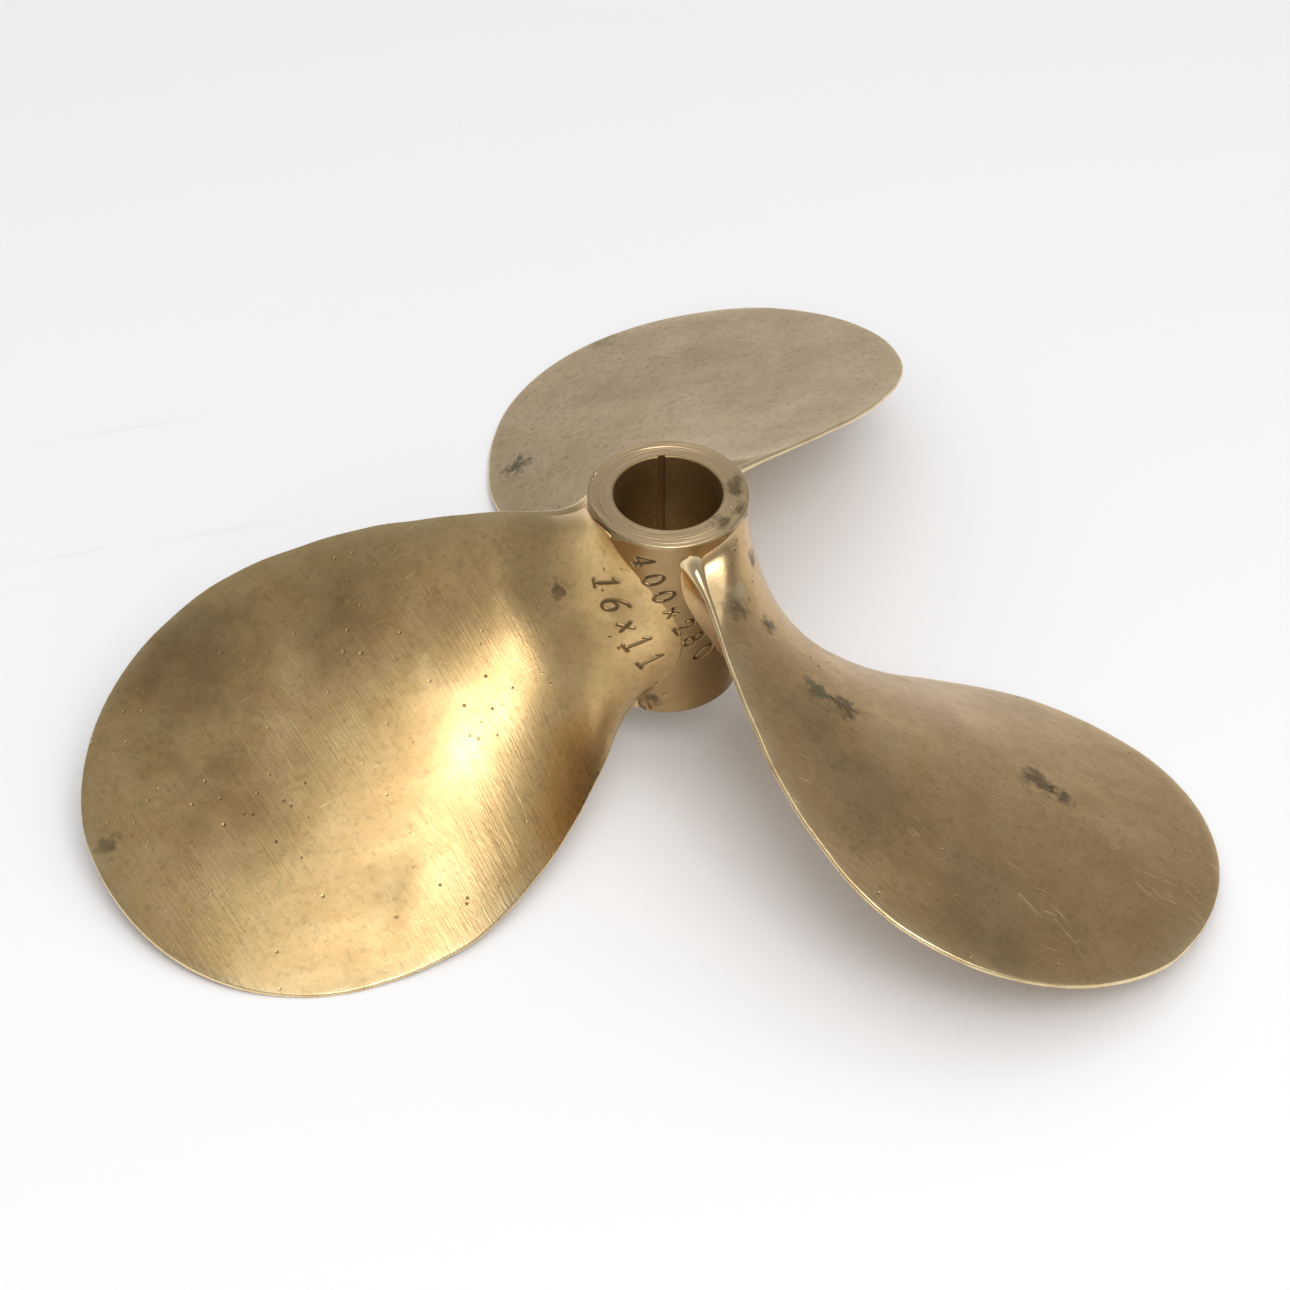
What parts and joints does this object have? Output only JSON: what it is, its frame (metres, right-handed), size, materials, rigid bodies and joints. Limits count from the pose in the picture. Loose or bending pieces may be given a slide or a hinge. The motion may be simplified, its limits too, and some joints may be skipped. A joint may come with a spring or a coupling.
{
  "type": "boat propeller",
  "caption": "Cast bronze boat propeller with wide, rounded, left-handed blades raked aft from a bored hub with a narrow key groove.",
  "frame": {"origin": "on the shaft axis, halfway along the hub", "axes": "+Z along the shaft towards the forward end of the hub, so the blades rake away from +Z; +Y towards the tip of blade 1"},
  "size_m": [0.3668, 0.3426, 0.0971],
  "materials": {
    "hub_bronze": "cast bronze, turned on the end faces and in the bore, darkened with age",
    "blade_bronze": "cast bronze, hand ground, worn bright along the edges and stained brown elsewhere"
  },
  "bodies": {
    "root": {"hub": "hub_bronze", "blade_1": "blade_bronze", "blade_2": "blade_bronze", "blade_3": "blade_bronze"}
  },
  "joints": []
}
